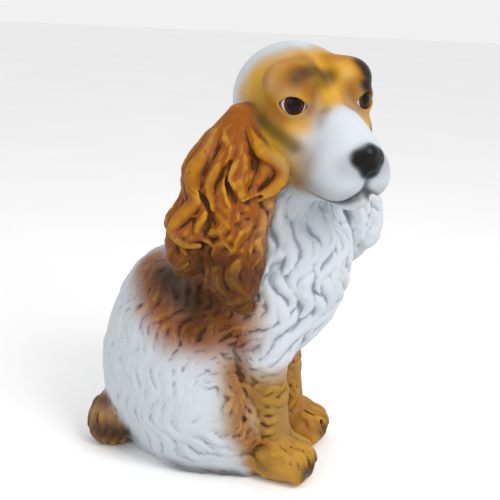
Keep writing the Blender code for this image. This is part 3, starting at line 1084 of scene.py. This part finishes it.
def averaged(values, edges, rounds):
    # each point moves to the mean of its neighbours, rounds times
    count = np.bincount(edges.ravel(), minlength=len(values))[:, None] + 1e-9
    for _ in range(rounds):
        total = np.stack([np.bincount(edges[:, 0], values[edges[:, 1], i], len(values))
                          + np.bincount(edges[:, 1], values[edges[:, 0], i], len(values))
                          for i in range(values.shape[1])], 1)
        values = 0.35 * values + 0.65 * total / count
    return values


def strandsObject(name, clay):
    lines = [line for line in coatLines + longLines if len(line) > 2]
    points = settle(np.concatenate(lines), clay)
    edges, first = [], 0
    for line in lines:
        run = np.arange(first, first + len(line))
        edges.append(np.stack([run[:-1], run[1:]], 1))
        first += len(line)
    return meshObject(name, placed(points), (), np.concatenate(edges))


def finishedSkin(clay, name):
    # the clay's surface with its strands scored, and everything the pieces need to know of it
    points, quads = clay.skin()
    skin = meshObject(name, placed(points), quads, smooth=True)
    strands = strandsObject(name + " strands", clay)
    plain = scoreStrands(skin, strands, ceramic)
    count = len(plain.vertices)
    points, normals, score = np.empty(count * 3), np.empty(count * 3), np.empty(count)
    plain.vertices.foreach_get("co", points)
    plain.vertices.foreach_get("normal", normals)
    plain.attributes["score"].data.foreach_get("value", score)
    points, normals = drawn(points.reshape(-1, 3)), normals.reshape(-1, 3)
    for made in (skin, strands):
        bpy.data.objects.remove(made)
    edges = edgesOf(quads)
    fine, broad = (((averaged(points, edges, int(3.1 * (sigma / clay.cell) ** 2)) - points) * normals).sum(1)
                   for sigma in (2.2, 5.0))
    apart = partDistances(points)
    values = np.stack(list(apart.values()), 1)
    shares = {}
    for i, part in enumerate(apart):
        shares[part] = np.delete(values, i, 1).min(1) - values[:, i]
    found = masks(points, shares)
    found["score"] = score
    # how hollow each point is, which the material turns into painted shade
    found["hollow"] = np.clip(fine / 0.9 + broad / 3.2, 0, 1)
    # how far each point stands out, which the material turns into painted highlight
    found["ridgeHighlight"] = np.clip(-fine / 1.2 - broad / 3.2, 0, 1)
    found["warm"] = np.clip(found["orange"] + 0.4 * found["gold"] + 0.3 * found["tan"], 0, 1) * (
        1 - eased(shares["head_shell"], -4, 4))
    return points, normals, quads, shares, found


# The body's front, the ruff, is a piece of its own; this is the plane between the two.
ruffCut = {"through": (0, -14, 200), "facing": (0, 1, 0)}


def cutPiece(name, part, skin, half=0):
    # the part of the skin where this part's form is nearest, cut cleanly along the line between
    points, normals, quads, shares, found = skin
    share = shares[part]
    if half:
        share = np.minimum(share, half * (np.array(ruffCut["through"]) - points) @ ruffCut["facing"])
    triangles = np.concatenate([quads[:, [0, 1, 2]], quads[:, [0, 2, 3]]])
    inside = share[triangles] >= 0
    count = inside.sum(1)
    whole = triangles[count == 3]
    starts, ends, places, rims = [], [], [], []
    made = {}

    def crossing(a, b):
        a, b = (a, b) if a < b else (b, a)
        if (a, b) not in made:
            made[a, b] = len(points) + len(starts)
            starts.append(a)
            ends.append(b)
            places.append(share[a] / (share[a] - share[b]))
        return made[a, b]

    for triangle, within in zip(triangles[(count > 0) & (count < 3)], inside[(count > 0) & (count < 3)]):
        rim = []
        for k in range(3):
            a, b = int(triangle[k]), int(triangle[(k + 1) % 3])
            if within[k]:
                rim.append(a)
            if within[k] != within[(k + 1) % 3]:
                rim.append(crossing(a, b))
        rims += [(rim[0], rim[k], rim[k + 1]) for k in range(1, len(rim) - 1)]
    starts, ends, places = np.array(starts, int), np.array(ends, int), np.array(places)[:, None]

    def extended(values):
        flat = values.reshape(len(points), -1)
        return np.concatenate([flat, flat[starts] * (1 - places) + flat[ends] * places])

    faces = np.concatenate([whole, np.array(rims, int).reshape(-1, 3)])
    used, faces = np.unique(faces, return_inverse=True)
    faces = faces.reshape(-1, 3)
    piece = meshObject(name, placed(extended(points)[used]), faces, smooth=True)
    facing = extended(normals)[used]
    facing /= np.linalg.norm(facing, axis=1, keepdims=True)
    piece.data.normals_split_custom_set_from_vertices(facing)
    for key, values in found.items():
        storeValues(piece, key, extended(values)[used, 0])
    piece.data.materials.append(ceramic)
    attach(piece, "root")
    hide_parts(part)
    return piece


bodySkin = finishedSkin(bodyClay, "body skin")
headSkin = finishedSkin(headClay, "head skin")
say("strands scored")

# name, the CAD's part, slot and which side of the ruff's cut
pieces = [
    ("body", "body_shell", "white_ceramic", -1),
    ("ruff", "body_shell", "white_ceramic", 1),
    ("head", "head_shell", "tan_ceramic", 0),
    ("rightEar", "right_ear", "tan_ceramic", 0),
    ("leftEar", "left_ear", "white_ceramic", 0),
    ("leftForeleg", "left_foreleg", "tan_ceramic", 0),
    ("rightForeleg", "right_foreleg", "tan_ceramic", 0),
    ("leftHindFoot", "left_hind_foot", "white_ceramic", 0),
    ("rightHindFoot", "right_hind_foot", "white_ceramic", 0),
    ("tail", "tail", "tan_ceramic", 0),
]
for name, part, slot, half in pieces:
    piece = cutPiece(name, part, headSkin if part == "head_shell" else bodySkin, half)
    say(f"{name}: {len(piece.data.polygons)} triangles")


eye = {
    "gap": 0.5,             # between the eyeball and its socket
    "iris": 43.0,           # degrees from the middle of the pupil
    "pupil": 29.0,
    "looks": {-1: (35, 1), 1: (18, 1)},    # where the right and the left iris face, outwards and up
}


def eyeMaterial():
    material, tree, shader, place = newMaterial("painted eye")
    off = addNode(tree, "ShaderNodeAttribute", {"attribute_name": "off"}, out="Fac")
    fleck = addNode(tree, "ShaderNodeTexNoise", None, {"Vector": place, "Scale": 700.0, "Detail": 2.0})

    white = mixed(tree, fleck * 0.3, linear(226, 220, 214), linear(196, 186, 178))
    ring = mixed(tree, fleck, linear(92, 46, 22), linear(52, 26, 14))
    colour = mixed(tree, off.between(eye["iris"] + 1.5, eye["iris"] - 1.5), white, ring)
    rim = off.between(eye["iris"] - 7, eye["iris"] + 1) * off.between(eye["iris"] + 4, eye["iris"])
    colour = mixed(tree, rim * 0.8, colour, linear(24, 14, 12))
    colour = mixed(tree, off.between(eye["pupil"] + 4, eye["pupil"] - 2), colour, linear(8, 9, 12))
    tree.links.new(colour.socket, shader.inputs["Base Color"])
    tree.links.new((0.08 + fleck * 0.06).socket, shader.inputs["Roughness"])
    shader.inputs["Specular IOR Level"].default_value = 0.14
    return material


eyePaint = eyeMaterial()


def makeEye(name, node, side):
    outwards, upwards = eye["looks"][side]
    turn = headTurn @ turned(yaw=side * outwards) @ turned(pitch=-upwards)
    radius = head["eyeRadius"] - 0.4 - eye["gap"]
    rings, around = 40, 72
    points, off, faces = [(0, -1, 0)], [0.0], []
    for i in range(1, rings + 1):
        angle = math.radians(105) * i / rings
        for k in range(around):
            about = 2 * math.pi * k / around
            wide = math.sin(angle)
            points.append((wide * math.cos(about), -math.cos(angle), wide * math.sin(about)))
            off.append(math.degrees(angle))
    for k in range(around):
        after = (k + 1) % around
        faces.append((0, 1 + k, 1 + after))
        for i in range(rings - 1):
            a, b = 1 + i * around, 1 + (i + 1) * around
            faces += [(a + k, b + k, b + after), (a + k, b + after, a + after)]
    place = eyeMiddle(side) + np.array(points) * radius @ turn.T
    eyeball = meshObject(name, placed(place), faces, smooth=True)
    storeValues(eyeball, "off", off)
    eyeball.data.materials.append(eyePaint)
    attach(eyeball, "root")
    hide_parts(node)


makeEye("rightEye", "right_eye", -1)
makeEye("leftEye", "left_eye", 1)
say("eyes set")


view = {
    "azimuth": -78.0,
    "away": 900.0,
    "height": 465.0,
    "target": (0, -10, 215),
    "tilt": 2.0,
    "lens": 68.4,
}


def makeCamera():
    a, tilt = math.radians(view["azimuth"]), math.radians(view["tilt"])
    target = Vector(view["target"])
    away = view["away"]
    place = Vector((target.x + math.sin(a) * away, target.y - math.cos(a) * away, view["height"]))
    ahead = (target - place).normalized()
    right = ahead.cross(Vector((0, 0, 1))).normalized()
    up = right.cross(ahead)
    across = right * math.cos(tilt) + up * math.sin(tilt)
    upright = up * math.cos(tilt) - right * math.sin(tilt)
    data = bpy.data.cameras.new("camera")
    data.lens = view["lens"]
    camera = bpy.data.objects.new("camera", data)
    bpy.context.scene.collection.objects.link(camera)
    stand = Matrix((across, upright, -ahead)).transposed().to_4x4()
    camera.matrix_world = Matrix.Translation(place * unit + Vector((0, 0, cadLow.z))) @ stand
    bpy.context.scene.camera = camera


studio = {
    "sky": 0.88,
    "key": {"place": (-0.7, -1.0, 1.35), "size": 0.7, "power": 17.0},
    "side": {"place": (-1.5, 0.6, 0.9), "size": 1.0, "power": 4.0},
}


def makeLights():
    world = bpy.data.worlds.new("studio")
    world.use_nodes = True
    world.node_tree.nodes["Background"].inputs["Color"].default_value = (1, 1, 1, 1)
    world.node_tree.nodes["Background"].inputs["Strength"].default_value = studio["sky"]
    bpy.context.scene.world = world
    bpy.context.scene.view_settings.view_transform = "Standard"
    for name in ("key", "side"):
        lamp = studio[name]
        light = bpy.data.lights.new(name, "AREA")
        light.energy = lamp["power"]
        light.size = lamp["size"]
        made = bpy.data.objects.new(name, light)
        made.location = lamp["place"]
        made.rotation_euler = (Vector((0, 0, 0.2)) - made.location).to_track_quat("-Z", "Y").to_euler()
        bpy.context.scene.collection.objects.link(made)


def floorMaterial():
    material, tree, shader, place = newMaterial("pale floor")
    cloud = addNode(tree, "ShaderNodeTexNoise", None, {"Vector": place, "Scale": 3.0})
    tint = mixed(tree, cloud, linear(244, 244, 244), linear(250, 250, 250))
    tree.links.new(tint.socket, shader.inputs["Base Color"])
    shader.inputs["Roughness"].default_value = 0.9
    return material


makeCamera()
makeLights()
floor = meshObject("floor", np.array([(-9, -9, 0), (9, -9, 0), (9, 9, 0), (-9, 9, 0)]) + [0, 0, cadLow.z],
                   [(0, 1, 2, 3)])
floor.data.materials.append(floorMaterial())
